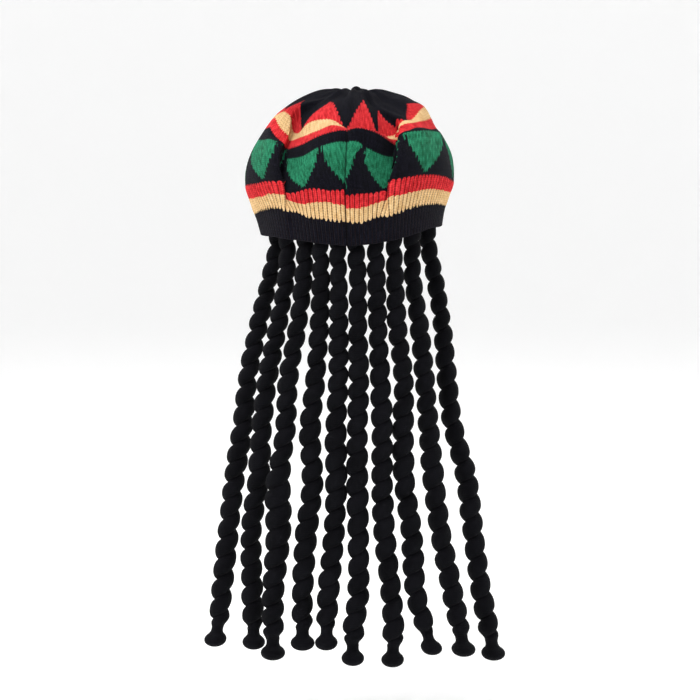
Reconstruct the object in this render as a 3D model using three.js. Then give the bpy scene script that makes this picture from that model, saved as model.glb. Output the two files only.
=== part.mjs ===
import * as THREE from "three";

// A knitted beanie with ten dreadlocks, standing as a head holds it. Millimetres, +Z up.
// The wearer faces +Y, so the locks hang at the back, on the -Y side. The origin is the middle of
// the head opening, level with the band's lower edge. Angles are degrees from the middle of the
// back, growing towards +X, and "along" is the way up the cloth from the band's lower edge.

const bandHeight = 56.5; // ribbed band, measured up the cloth
const bandWall = 4; // ribbed knit
const crownWall = 3; // plain knit
const seatGap = 0.45; // clear space between a lock and the band
const crownGap = 1.2; // up the cloth between the band and the crown, about 0.3 where they are nearest
const crownRidge = 112; // along: where the crown's side turns over into its top
const ridgeGap = 1; // up the cloth between the crown's side and its top
const depthRatio = 1.03; // front to back size over side to side size
const sideTilt = 0.05; // the +X side of the band sits higher by this slope
const tiltFade = 150; // height at which the tilt has died away
const liftEnd = 200; // along: the folds lift nothing above this
const puckerCount = 11; // folds drawn together at the gather on top
const puckerDepth = 1.6;
const columnStep = 8; // widest facet of the cap, in degrees
const rowStep = 12; // tallest facet of the crown
const bandStep = 19; // tallest facet of the band
const innerEnd = 208; // along: the cloth's inner face closes here, under the nub
const innerTip = 212;
const nubTop = 216; // along: the last ring before the nub's tip
const clothEnd = 219; // along: the tip of the nub
const sideRings = [69, 81, 101]; // along: rings between the band and the ridge
const topRings = [118, 125, 138, 150, 164, 181, 193, 206, 212, nubTop]; // from the ridge to the nub

// The cap's outline: radius and height up the cloth, and how far it leans to +X.
const capOutline = [
  { along: 0, radius: 95, height: 0, lean: -1.5 },
  { along: 19, radius: 98.7, height: 18.5, lean: -2.5 },
  { along: 33, radius: 103, height: 31.5, lean: -3 },
  { along: 47, radius: 107.3, height: 45, lean: -3.2 },
  { along: 57, radius: 109, height: 55, lean: -3.4 },
  { along: 69, radius: 108.7, height: 67, lean: -3.4 },
  { along: 81, radius: 105.5, height: 78.5, lean: -3.2 },
  { along: 101, radius: 95.5, height: 96, lean: -2.6 },
  { along: 115, radius: 87.5, height: 107.5, lean: -2.2 },
  { along: 126, radius: 81, height: 116.5, lean: -2 },
  { along: 138, radius: 72.8, height: 124.8, lean: -1.5 },
  { along: 150, radius: 63.2, height: 131.6, lean: -1 },
  { along: 164, radius: 51.4, height: 138, lean: 0 },
  { along: 181, radius: 36.6, height: 143.3, lean: 1 },
  { along: 193, radius: 26, height: 145.2, lean: 2 },
  { along: 206, radius: 13, height: 144.3, lean: 3 },
  { along: 212, radius: 6, height: 144.8, lean: 3.5 },
  { along: nubTop, radius: 4.2, height: 147.8, lean: 3.5 },
  { along: clothEnd, radius: 0, height: 149.3, lean: 3.5 },
];

// The folds round the cap: spread turns a fold sideways higher up, and the others push the cloth out
// (+) or in (-) at four levels. -38 and 20 are the deep creases where the side lobes lap over the
// middle panel.
const folds = [
  { angle: -180, spread: 0, band: 0, body: 0, ridge: 0, shelf: 0 },
  { angle: -135, spread: 0, band: 0, body: 1.5, ridge: 0, shelf: -1 },
  { angle: -90, spread: 0, band: 0, body: 0, ridge: 0, shelf: 0 },
  { angle: -68, spread: -3, band: 0.5, body: 1.5, ridge: 1, shelf: 0 },
  { angle: -52, spread: -7, band: 1, body: 3.5, ridge: 2.5, shelf: 1 },
  { angle: -45, spread: -9, band: 1, body: 3.5, ridge: 2.5, shelf: 0.5 },
  { angle: -41, spread: -9.6, band: -0.5, body: -1, ridge: -1, shelf: -2.5 },
  { angle: -38, spread: -9.6, band: -3.2, body: -9, ridge: -8.5, shelf: -8 },
  { angle: -34, spread: -9, band: -2.8, body: -8, ridge: -7.5, shelf: -7.5 },
  { angle: -20, spread: -4, band: -0.5, body: -2.5, ridge: -1, shelf: -2.5 },
  { angle: -4, spread: 0, band: 0, body: 0, ridge: 2.5, shelf: -3 },
  { angle: 4, spread: 2, band: 0, body: -0.5, ridge: 3.5, shelf: -7 },
  { angle: 12, spread: 6.5, band: -0.5, body: -3, ridge: 1, shelf: -8 },
  { angle: 16, spread: 9.5, band: -1.6, body: -6, ridge: -3, shelf: -7.5 },
  { angle: 20, spread: 11.5, band: -2.6, body: -8.5, ridge: -8, shelf: -7 },
  { angle: 23, spread: 11.5, band: 0, body: 0, ridge: 0, shelf: -2 },
  { angle: 27, spread: 10.5, band: 1, body: 3.5, ridge: 2, shelf: 0.5 },
  { angle: 34, spread: 8.5, band: 1, body: 3.5, ridge: 2, shelf: 1 },
  { angle: 48, spread: 4, band: 1, body: 2.5, ridge: 1.5, shelf: 0.5 },
  { angle: 70, spread: 1, band: 0.5, body: 1, ridge: 0.5, shelf: 0 },
  { angle: 90, spread: 0, band: 0, body: 0, ridge: 0, shelf: 0 },
  { angle: 135, spread: 0, band: 0, body: 1.5, ridge: 0.5, shelf: -1 },
  { angle: 180, spread: 0, band: 0, body: 0, ridge: 0, shelf: 0 },
];

// Where along the cloth each of the folds' columns holds in full.
const foldLevels = [
  { along: 0, spread: 0, band: 0.3, body: 0, ridge: 0, shelf: 0, pucker: 0 },
  { along: 25, spread: 0, band: 0.7, body: 0, ridge: 0, shelf: 0, pucker: 0 },
  { along: 44, spread: 0, band: 1, body: 0.2, ridge: 0, shelf: 0, pucker: 0 },
  { along: 57, spread: 0.05, band: 0.6, body: 0.5, ridge: 0, shelf: 0, pucker: 0 },
  { along: 80, spread: 0.5, band: 0, body: 1, ridge: 0, shelf: 0, pucker: 0 },
  { along: 101, spread: 0.85, band: 0, body: 0.6, ridge: 0.4, shelf: 0, pucker: 0 },
  { along: 111, spread: 1.15, band: 0, body: 0, ridge: 1, shelf: 0, pucker: 0 },
  { along: 118, spread: 1.3, band: 0, body: 0, ridge: 0.4, shelf: 0.6, pucker: 0 },
  { along: 125, spread: 1.45, band: 0, body: 0, ridge: 0, shelf: 1, pucker: 0 },
  { along: 132, spread: 1.7, band: 0, body: 0, ridge: 0, shelf: 0.9, pucker: 0.05 },
  { along: 145, spread: 1.4, band: 0, body: 0, ridge: 0, shelf: 0.4, pucker: 0.3 },
  { along: 164, spread: 0.6, band: 0, body: 0, ridge: 0, shelf: 0.1, pucker: 0.8 },
  { along: 190, spread: 0, band: 0, body: 0, ridge: 0, shelf: 0, pucker: 1 },
  { along: 212, spread: 0, band: 0, body: 0, ridge: 0, shelf: 0, pucker: 0 },
  { along: 219, spread: 0, band: 0, body: 0, ridge: 0, shelf: 0, pucker: 0 },
];
const pushColumns = ["band", "body", "ridge", "shelf"];

// How far the folds lift the cloth (+) or let it drop (-), at nine ways up it, and none at the gather.
const liftLevels = [
  { column: "at0", along: 0 },
  { column: "at25", along: 25 },
  { column: "at40", along: 40 },
  { column: "at57", along: 57 },
  { column: "at101", along: 101 },
  { column: "at111", along: 111 },
  { column: "at121", along: 121 },
  { column: "at132", along: 132 },
  { column: "at175", along: 175 },
];
const lifts = [
  { angle: -180, at0: 0, at25: 0, at40: 0, at57: 0,
    at101: 0, at111: 0, at121: 0, at132: 0, at175: 0 },
  { angle: -90, at0: 0, at25: -3, at40: -2, at57: -4,
    at101: 0, at111: 0, at121: 0, at132: 0, at175: 0 },
  { angle: -60, at0: 0.4, at25: 4, at40: 2, at57: -0.6,
    at101: 0.5, at111: 3, at121: 1, at132: 2, at175: 0 },
  { angle: -50, at0: -0.8, at25: 5.8, at40: 5.5, at57: 1.7,
    at101: 0.8, at111: 2, at121: 0, at132: 3, at175: -1 },
  { angle: -44, at0: -1.8, at25: 5, at40: 5.2, at57: 2,
    at101: 1, at111: 0, at121: -1, at132: 3, at175: -2 },
  { angle: -41, at0: -2.3, at25: 3, at40: 4, at57: 1,
    at101: 0.5, at111: -2, at121: -3, at132: 1, at175: -3 },
  { angle: -36, at0: -3, at25: 1, at40: -2, at57: -9.5,
    at101: -13, at111: -12, at121: -12, at132: -11, at175: -5 },
  { angle: -32, at0: -3.6, at25: 0, at40: -5, at57: -10.5,
    at101: -14, at111: -11, at121: -11, at132: -13, at175: -5 },
  { angle: -26, at0: -5, at25: -3.8, at40: -5.6, at57: -7.4,
    at101: -12.8, at111: -9, at121: -9, at132: -6, at175: -5 },
  { angle: -18, at0: -7, at25: -5.8, at40: -3.7, at57: -5.8,
    at101: -6.5, at111: -4, at121: -5, at132: -3, at175: -4 },
  { angle: -11, at0: -8.2, at25: -7.3, at40: -4.4, at57: -8,
    at101: -3, at111: -1, at121: -1, at132: -4, at175: -4 },
  { angle: -3, at0: -10, at25: -9.5, at40: -7.7, at57: -7.6,
    at101: -1, at111: 1, at121: -4, at132: -13, at175: -4 },
  { angle: 3, at0: -10, at25: -11, at40: -9, at57: -7.6,
    at101: -2.4, at111: 1, at121: -7, at132: -15, at175: -5 },
  { angle: 7, at0: -10, at25: -11, at40: -9.4, at57: -9.5,
    at101: -8, at111: -1, at121: -9, at132: -17, at175: -6 },
  { angle: 12, at0: -9.7, at25: -8.4, at40: -8.6, at57: -12,
    at101: -12, at111: -5, at121: -11, at132: -18, at175: -6 },
  { angle: 18, at0: -9, at25: -6.8, at40: -6, at57: -11,
    at101: -14, at111: -11, at121: -14, at132: -17, at175: -8 },
  { angle: 23, at0: -8, at25: -6.2, at40: -1.5, at57: -1.5,
    at101: 1.5, at111: -4, at121: -4, at132: -8, at175: -11 },
  { angle: 28, at0: -7, at25: -3.4, at40: 0.8, at57: 1.8,
    at101: 5, at111: -2, at121: -2, at132: -7, at175: -12 },
  { angle: 37, at0: -4.8, at25: 1, at40: 3, at57: 3.7,
    at101: 6, at111: 1, at121: -1.5, at132: -7, at175: -12 },
  { angle: 48, at0: -1.8, at25: 3, at40: 4.7, at57: 3.5,
    at101: 6.5, at111: 1.5, at121: 0, at132: -5, at175: -9 },
  { angle: 62, at0: 1, at25: 2, at40: 2, at57: 0.4,
    at101: 6, at111: 0, at121: -0.5, at132: -2.5, at175: -4 },
  { angle: 77, at0: 0.3, at25: -0.8, at40: -1.5, at57: -5.7,
    at101: 3, at111: -1, at121: -1, at132: -0.6, at175: -1 },
  { angle: 90, at0: 0, at25: -2, at40: -3, at57: -6,
    at101: 1.5, at111: 0, at121: 0, at132: 0, at175: 0 },
  { angle: 180, at0: 0, at25: 0, at40: 0, at57: 0,
    at101: 0, at111: 0, at121: 0, at132: 0, at175: 0 },
];

// The locks, from the -X side to the +X side: where each is sewn inside the band, its sideways place
// at eight drops below the rim and at its end, the height of its end, how much it is swollen, and
// the radius of its knob.
const locks = [
  { angle: -71, at45: -85.5, at97: -98, at150: -109, at203: -115, at256: -123.5, at309: -130, at372: -137,
    at409: -141, end: -145.5, endHeight: -438.5, swell: 0, knob: 11.7 },
  { angle: -53.5, at45: -68.5, at97: -77.5, at150: -88, at203: -94.5, at256: -98, at309: -105.5, at372: -105,
    at409: -104, end: -103.5, endHeight: -436.5, swell: 0, knob: 11.8 },
  { angle: -36, at45: -50.5, at97: -57, at150: -66.5, at203: -69.5, at256: -77, at309: -77, at372: -82.5,
    at409: -83, end: -83, endHeight: -444, swell: 2.4, knob: 12.7 },
  { angle: -23, at45: -32.5, at97: -34.5, at150: -38.5, at203: -44, at256: -41.5, at309: -48, at372: -52,
    at409: -52, end: -52, endHeight: -431.5, swell: 0.3, knob: 12.4 },
  { angle: -10, at45: -14.5, at97: -14.5, at150: -15, at203: -17.5, at256: -17, at309: -19.5, at372: -25.5,
    at409: -27, end: -27.5, endHeight: -430, swell: 0, knob: 11.7 },
  { angle: 3, at45: 5, at97: 5, at150: 6, at203: 4.5, at256: 4.5, at309: 5.5, at372: 5.5,
    at409: 0.5, end: 0, endHeight: -446, swell: 0, knob: 11.7 },
  { angle: 17.5, at45: 24, at97: 25.5, at150: 28, at203: 30, at256: 30, at309: 32.5, at372: 39.5,
    at409: 42, end: 41, endHeight: -448.5, swell: 0, knob: 11.7 },
  { angle: 32, at45: 43, at97: 45.5, at150: 52, at203: 51.5, at256: 53, at309: 60.5, at372: 65,
    at409: 75, end: 82.5, endHeight: -437.5, swell: 0, knob: 11 },
  { angle: 49.5, at45: 61.5, at97: 68.5, at150: 74, at203: 78.5, at256: 83.5, at309: 90.5, at372: 103,
    at409: 110.5, end: 116, endHeight: -443, swell: 0.2, knob: 12.5 },
  { angle: 76, at45: 84.5, at97: 93, at150: 98, at203: 104.5, at256: 118.5, at309: 125.5, at372: 134,
    at409: 141, end: 149, endHeight: -455, swell: 0.2, knob: 12.6 },
];
// The heights of the locks' eight drops.
const lockDrops = [
  { column: "at409", height: -409 },
  { column: "at372", height: -372 },
  { column: "at309", height: -309 },
  { column: "at256", height: -256 },
  { column: "at203", height: -203 },
  { column: "at150", height: -150 },
  { column: "at97", height: -97 },
  { column: "at45", height: -45 },
];
const lockRim = -12; // below this a lock hangs free
const lockTop = 16; // the sewn end stands this far up inside the band
const rootRadius = 9;
const upperRadius = 10.1;
const lowerRadius = 11.5;
const swellHeight = -275; // where a swollen lock is thickest
const fullHeight = -230; // below this a lock has its full width
const upperHeight = -90;
const lumpDepth = 3.2; // how far the spiral groove cuts in
const lockPitch = 20; // from one lump to the next
const plainPitch = 8; // spacing of the facets where there is no groove
const lockSides = 8;
const grooveFade = 8; // the groove comes and goes over this height
const grooveStart = 2; // above the knob
const endBulge = 0.5; // how far a lock's two tips stand out past its end rings
const topRounding = 6; // the sewn end narrows over this height
const topNarrowing = 0.72;

// The bare end of a lock: a round knob on a narrow neck, heights from its lowest point.
const knobOutline = [
  { above: 0, radius: 0.35 },
  { above: 3, radius: 0.8 },
  { above: 7, radius: 1 },
  { above: 11, radius: 0.97 },
  { above: 15, radius: 0.72 },
  { above: 19, radius: 0.58 },
];
const knobHeight = 19;
const neckBlend = 14; // the neck grows to the lock's own width over this height

const colours = { crown: 0x15161c, side: 0x1e8255, band: 0xe0323a, lock: 0x1c1c20 };

// A smooth value between the rows of a table: a cubic through them, flat at both ends.
function columnAt(rows, key, column, place) {
  const last = rows.length - 1;
  const held = THREE.MathUtils.clamp(place, rows[0][key], rows[last][key]);
  const found = rows.findIndex((row, n) => n > 0 && held <= row[key]);
  const slope = (n) => (n === 0 || n === last
    ? 0
    : (rows[n + 1][column] - rows[n - 1][column]) / (rows[n + 1][key] - rows[n - 1][key]));
  const from = rows[found - 1];
  const to = rows[found];
  const span = to[key] - from[key];
  const t = (held - from[key]) / span;
  const rise = t * t * (3 - 2 * t);
  const leave = t * (1 - t) * (1 - t) * span * slope(found - 1);
  const arrive = t * t * (t - 1) * span * slope(found);
  return from[column] + (to[column] - from[column]) * rise + leave + arrive;
}

// The lift of the cloth at an angle and a way up it, from the table of lifts.
function liftAt(angle, along) {
  const rows = liftLevels.map((level) => ({
    along: level.along,
    lift: columnAt(lifts, "angle", level.column, angle),
  }));
  return columnAt([...rows, { along: liftEnd, lift: 0 }], "along", "lift", along);
}

// A point of the cap's cloth, inset from its outer face by a thickness.
function capPoint(angle, along, inset) {
  const outline = (column, place = along) => columnAt(capOutline, "along", column, place);
  const foldAt = (column) => columnAt(folds, "angle", column, angle);
  const levelAt = (column) => columnAt(foldLevels, "along", column, along);
  const probe = 0.5;
  const runOut = outline("radius", along + probe) - outline("radius", along - probe);
  const runUp = outline("height", along + probe) - outline("height", along - probe);
  const run = Math.hypot(runOut, runUp);
  const pucker = Math.cos(THREE.MathUtils.degToRad(angle * puckerCount)) * puckerDepth * levelAt("pucker");
  const pushed = pushColumns.reduce((sum, column) => sum + foldAt(column) * levelAt(column), 0);
  const push = pushed + pucker - inset;
  const radius = Math.max(outline("radius") + (push * runUp) / run, 0);
  const turn = THREE.MathUtils.degToRad(angle + foldAt("spread") * levelAt("spread"));
  const height = outline("height") - (push * runOut) / run + liftAt(angle, along);
  const side = radius * Math.sin(turn);
  const tilt = sideTilt * side * Math.max(1 - height / tiltFade, 0);
  return new THREE.Vector3(side + outline("lean"), -radius * Math.cos(turn) * depthRatio, height + tilt);
}

// Places from a list, with more put between them wherever two are further apart than a step.
function withSteps(places, step) {
  return places.slice(0, -1).flatMap((place, n) => {
    const parts = Math.ceil((places[n + 1] - place) / step);
    return Array.from({ length: parts }, (_, k) => place + ((places[n + 1] - place) * k) / parts);
  });
}

function closedGeometry(points, faces) {
  const geometry = new THREE.BufferGeometry();
  geometry.setAttribute("position", new THREE.Float32BufferAttribute(points.flatMap((p) => p.toArray()), 3));
  geometry.setIndex(faces.flat());
  geometry.computeVertexNormals();
  return geometry;
}

function quad(a, b, c, d) {
  return [[a, b, c], [a, c, d]];
}

const columns = withSteps(folds.map((row) => row.angle), columnStep);

// Joins rings of the cap, each a row of points round it, into faces that look outwards.
function ringFaces(ring, nextRing) {
  return columns.flatMap((_, n) => {
    const next = (n + 1) % columns.length;
    return quad(ring + n, ring + next, nextRing + next, nextRing + n);
  });
}

// A ring of cloth, open above and below.
function clothRing(rows, wall) {
  const ringsAt = (places, inset) =>
    places.flatMap((along) => columns.map((angle) => capPoint(angle, along, inset)));
  const outside = ringsAt(rows, 0);
  const inside = ringsAt([...rows].reverse(), wall);
  const rings = rows.length * 2;
  const faces = Array.from({ length: rings }, (_, n) =>
    ringFaces(n * columns.length, ((n + 1) % rings) * columns.length)).flat();
  return closedGeometry([...outside, ...inside], faces);
}

// The top of the crown: a dome of cloth drawn together in a nub.
function crownTopGeometry() {
  const outerRows = [...withSteps([crownRidge + ridgeGap, ...topRings], rowStep), nubTop];
  const innerRows = outerRows.filter((along) => along < innerEnd).reverse();
  const outer = outerRows.flatMap((along) => columns.map((angle) => capPoint(angle, along, 0)));
  const inner = innerRows.flatMap((along) => columns.map((angle) => capPoint(angle, along, crownWall)));
  const top = capPoint(0, clothEnd, 0);
  const innerTop = capPoint(0, innerTip, crownWall).setX(top.x).setY(0);
  const points = [...outer, ...inner, top, innerTop];
  const count = columns.length;
  const faces = [];
  for (let n = 0; n < outerRows.length - 1; n += 1) faces.push(...ringFaces(n * count, (n + 1) * count));
  const innerStart = outerRows.length * count;
  for (let n = 0; n < innerRows.length - 1; n += 1) {
    faces.push(...ringFaces(innerStart + n * count, innerStart + (n + 1) * count));
  }
  const innerFoot = innerStart + (innerRows.length - 1) * count;
  const outerEnd = innerStart - count;
  faces.push(...ringFaces(innerFoot, 0));
  columns.forEach((_, n) => {
    const next = (n + 1) % count;
    faces.push([outerEnd + n, outerEnd + next, points.length - 2]);
    faces.push([innerStart + next, innerStart + n, points.length - 1]);
  });
  return closedGeometry(points, faces);
}

// The way a lock hangs, as rows of height, sideways place and place front to back.
function lockRoute(lock) {
  const reach = bandWall + seatGap + rootRadius;
  const seat = capPoint(lock.angle, 0, reach);
  return [
    { height: lock.endHeight, x: lock.end, y: seat.y },
    ...lockDrops.map(({ column, height }) => ({ height, x: lock[column], y: seat.y })),
    { height: lockRim, x: seat.x, y: seat.y },
    { height: lockTop + seat.z, x: seat.x, y: seat.y },
  ];
}

// The lock's radius over its lumps at a height, from the knob to the sewn end.
function lockRadius(lock, height, top) {
  const above = height - lock.endHeight;
  const knob = columnAt(knobOutline, "above", "radius", above) * lock.knob;
  const widths = [
    { height: lock.endHeight + knobHeight + neckBlend, radius: lowerRadius },
    { height: swellHeight, radius: lowerRadius + lock.swell },
    { height: fullHeight, radius: lowerRadius },
    { height: upperHeight, radius: upperRadius },
    { height: lockRim, radius: rootRadius },
    { height: top, radius: rootRadius },
  ];
  const body = columnAt(widths, "height", "radius", height);
  const blend = THREE.MathUtils.smoothstep(above, knobHeight, knobHeight + neckBlend);
  const past = Math.max(height - top + topRounding, 0) / topRounding;
  const rounded = Math.sqrt(1 - topNarrowing * past ** 2);
  return THREE.MathUtils.lerp(knob, body, blend) * rounded;
}

// One lock: a rope wound with a spiral groove. Its points climb in one spiral along the groove and
// a second along the crest, half a turn of the climb above it.
function lockGeometry(lock) {
  const route = lockRoute(lock);
  const first = route[0];
  const seat = route[route.length - 1];
  const top = seat.height;
  const rounds = lockSides;
  const outward = THREE.MathUtils.degToRad(lock.angle - 90); // a corner of the section faces the band
  const grooveFoot = lock.endHeight + knobHeight + grooveStart;
  const grooveEnd = lockRim - grooveFade;
  const heights = [lock.endHeight];
  while (heights[heights.length - 1] < top) {
    const height = heights[heights.length - 1];
    const plain = height < grooveFoot || height > grooveEnd;
    heights.push(height + (plain ? plainPitch : lockPitch) / rounds);
  }
  const last = heights.length - 1 - rounds;
  const place = (index, heightIndex, depth) => {
    const height = Math.min(heights[heightIndex], top);
    const angle = outward + (index / rounds) * Math.PI * 2;
    const groove = THREE.MathUtils.smoothstep(height, grooveFoot, grooveFoot + grooveFade)
      * (1 - THREE.MathUtils.smoothstep(height, grooveEnd - grooveFade, grooveEnd));
    const radius = lockRadius(lock, height, top) - depth * groove;
    return new THREE.Vector3(
      columnAt(route, "height", "x", height) + radius * Math.cos(angle),
      columnAt(route, "height", "y", height) + radius * Math.sin(angle),
      height,
    );
  };
  const groove = heights.map((_, n) => place(n, n, lumpDepth));
  const crest = Array.from({ length: last + 1 }, (_, n) => place(n, n + rounds / 2, 0));
  const ends = [
    new THREE.Vector3(first.x, first.y, first.height - endBulge),
    new THREE.Vector3(seat.x, seat.y, top + endBulge),
  ];
  const points = [...groove, ...crest, ...ends];
  const crestAt = (n) => groove.length + n;
  const footPoint = points.length - 2;
  const topPoint = points.length - 1;
  const faces = [];
  for (let n = 0; n < last; n += 1) {
    faces.push(...quad(n, n + 1, crestAt(n + 1), crestAt(n)));
    faces.push(...quad(crestAt(n), crestAt(n + 1), n + rounds + 1, n + rounds));
  }
  for (let n = 0; n < rounds; n += 1) {
    faces.push([footPoint, n + 1, n]);
    faces.push([topPoint, last + n, last + n + 1]);
  }
  faces.push([footPoint, crestAt(0), rounds], [footPoint, 0, crestAt(0)]);
  faces.push([topPoint, crestAt(last), last], [topPoint, last + rounds, crestAt(last)]);
  return closedGeometry(points, faces);
}

function piece(name, geometry, color, roughness) {
  const mesh = new THREE.Mesh(geometry, new THREE.MeshStandardMaterial({ color, roughness, metalness: 0 }));
  mesh.name = name;
  return mesh;
}

const beanie = new THREE.Group();
const bandRows = [...withSteps([0, bandHeight], bandStep), bandHeight];
const sideRows = [...withSteps([bandHeight + crownGap, ...sideRings, crownRidge], rowStep), crownRidge];
beanie.add(piece("crown_top", crownTopGeometry(), colours.crown, 0.9));
beanie.add(piece("crown_side", clothRing(sideRows, crownWall), colours.side, 0.9));
beanie.add(piece("ribbed_band", clothRing(bandRows, bandWall), colours.band, 0.9));
locks.forEach((lock, n) => {
  const number = String(n + 1).padStart(2, "0");
  beanie.add(piece(`dreadlock_${number}`, lockGeometry(lock), colours.lock, 0.95));
});

export default beanie;
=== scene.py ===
import math
import bpy
import numpy as np
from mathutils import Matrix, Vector


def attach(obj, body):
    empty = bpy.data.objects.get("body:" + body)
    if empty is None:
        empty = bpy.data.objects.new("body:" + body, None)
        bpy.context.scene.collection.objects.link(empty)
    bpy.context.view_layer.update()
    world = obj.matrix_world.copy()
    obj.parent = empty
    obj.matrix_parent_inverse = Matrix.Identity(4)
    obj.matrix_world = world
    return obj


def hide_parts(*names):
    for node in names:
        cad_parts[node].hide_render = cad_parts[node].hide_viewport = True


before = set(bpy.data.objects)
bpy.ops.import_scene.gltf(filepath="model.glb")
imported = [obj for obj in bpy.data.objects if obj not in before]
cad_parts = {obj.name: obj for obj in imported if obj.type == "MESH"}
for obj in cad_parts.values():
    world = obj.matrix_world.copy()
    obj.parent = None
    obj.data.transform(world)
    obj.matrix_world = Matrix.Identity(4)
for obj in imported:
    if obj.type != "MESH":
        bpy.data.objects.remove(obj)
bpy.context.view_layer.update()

# A knitted beanie with ten dreadlocks, held up as a head holds it, seen from behind.
# Tables are in millimetres and degrees, meshes in metres. The wearer faces +Y, and angles
# run from the middle of the back towards +X. "along" is the way up the cloth from the rim.
mm = 0.001

# camera
cameraSetup = {"lens": 130, "sensor": 36, "raised": 6, "away": 2661, "target": (-2.95, 0, -127)}


def makeCamera(setup):
    data = bpy.data.cameras.new("photoCamera")
    data.lens = setup["lens"]
    data.sensor_width = setup["sensor"]
    data.clip_end = 30
    camera = bpy.data.objects.new("photoCamera", data)
    raised = math.radians(setup["raised"])
    away = Vector((0, -math.cos(raised), math.sin(raised))) * setup["away"]
    camera.location = (Vector(setup["target"]) + away) * mm
    camera.rotation_euler = (math.pi / 2 - raised, 0, 0)
    bpy.context.scene.collection.objects.link(camera)
    bpy.context.scene.camera = camera


makeCamera(cameraSetup)
print("camera set")


# tables and meshes
def tableCurve(rows, column, places):
    # a cubic through a table's rows, flat at both ends: Hermite with central slopes
    rows = np.asarray(rows, float)
    x, y = rows[:, 0], rows[:, column]
    slope = np.zeros(len(x))
    slope[1:-1] = (y[2:] - y[:-2]) / (x[2:] - x[:-2])
    held = np.clip(places, x[0], x[-1])
    n = np.clip(np.searchsorted(x, held) - 1, 0, len(x) - 2)
    span = x[n + 1] - x[n]
    t = (held - x[n]) / span
    rise = t * t * (3 - 2 * t)
    leave = t * (1 - t) ** 2 * span * slope[n]
    arrive = t * t * (t - 1) * span * slope[n + 1]
    return y[n] + (y[n + 1] - y[n]) * rise + leave + arrive


def smoothBetween(low, high, value):
    t = np.clip((value - low) / (high - low), 0, 1)
    return t * t * (3 - 2 * t)


def gridPiece(name, points, uv, closedRows=False):
    # points: rows x columns x 3 in mm, each row a ring that runs counter-clockwise seen from
    # above; the rows go up the outside. uv: rows x (columns + 1) x 2. The ends get a pole,
    # or the last row joins the first.
    rows, columns = points.shape[:2]
    corner = np.arange(rows * columns).reshape(rows, columns)
    after = np.roll(corner, -1, axis=1)
    here, there = uv[:, :-1], uv[:, 1:]
    steps = rows if closedRows else rows - 1

    def above(grid):
        return np.roll(grid, -1, axis=0)[:steps]

    quads = np.stack([corner[:steps], after[:steps], above(after), above(corner)], axis=-1)
    quadUv = np.stack([here[:steps], there[:steps], above(there), above(here)], axis=2)
    vertices = points.reshape(-1, 3)
    faces = quads.reshape(-1, 4).tolist()
    loops = [quadUv.reshape(-1, 2)]
    if not closedRows:
        poles = ((0, (after, corner), (there, here)), (rows - 1, (corner, after), (here, there)))
        for ring, (first, second), (uvFirst, uvSecond) in poles:
            tip = len(vertices)
            vertices = np.vstack([vertices, points[ring].mean(axis=0, keepdims=True)])
            faces += np.stack([first[ring], second[ring], np.full(columns, tip)], axis=1).tolist()
            uvTip = (uvFirst[ring] + uvSecond[ring]) / 2
            loops.append(np.stack([uvFirst[ring], uvSecond[ring], uvTip], axis=1).reshape(-1, 2))
    mesh = bpy.data.meshes.new(name)
    mesh.from_pydata((vertices * mm).tolist(), [], faces)
    layer = mesh.uv_layers.new(name="cloth")
    layer.data.foreach_set("uv", np.concatenate(loops).ravel())
    mesh.polygons.foreach_set("use_smooth", np.ones(len(mesh.polygons), bool))
    mesh.update()
    piece = bpy.data.objects.new(name, mesh)
    bpy.context.scene.collection.objects.link(piece)
    return piece


# the cap
cap = {
    "bandTop": 56.5,  # along, where the ribs end
    "bandWall": 4.0,
    "crownWall": 3.0,
    "depthRatio": 1.03,
    "tilt": 0.05,
    "tiltFade": 150,
    "ribs": 140,
    "ribColumns": 8,
    "ribDepth": 1.5,
    "bandStep": 1.5,
    "crownColumns": 680,
    "crownStep": 2.0,
    "innerStep": 5.0,
    "innerTop": 208,
    "tip": 219,
    "triangles": 13,  # repeats of the pattern round the cap
}

# the join up the middle of the back
seam = {
    "angle": -2.5,
    "ringRadius": 105,  # where its widths are measured
    "width": 1.2,
    "depth": 1.6,
    "crownDepth": 3,  # times as deep on the crown
    "crownFrom": (58, 75),
    "line": 0.9,  # half width of the painted shade line down the seam's valley
    "fade": (104, 128),
    "jog": [(25, 0), (40, 3), (56, 6), (60, 2.5), (66, 0)],  # along, how much lower the stripes sit
    "jogReach": (0, 19),  # degrees past the seam over which the jog dies away
    "loss": 0.16,  # share of a triangle that is sewn in
    "lossFade": (85, 101),
    "lossReach": (2, 22),
}

# along, radius, height, lean to +X
capOutline = [
    (0, 95, 0, -1.5), (19, 98.7, 18.5, -2.5), (33, 103, 31.5, -3), (47, 107.3, 45, -3.2),
    (57, 109, 55, -3.4), (69, 108.7, 67, -3.4), (81, 105.5, 78.5, -3.2), (101, 95.5, 96, -2.6),
    (115, 87.5, 107.5, -2.2), (126, 81, 116.5, -2), (138, 72.8, 124.8, -1.5), (150, 63.2, 131.6, -1),
    (164, 51.4, 138, 0), (181, 36.6, 143.3, 1), (193, 26, 145.2, 2), (206, 13, 144.3, 3),
    (212, 6, 144.8, 3.5), (216, 4.2, 147.8, 3.5), (219, 0.4, 149.3, 3.5),
]

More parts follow.
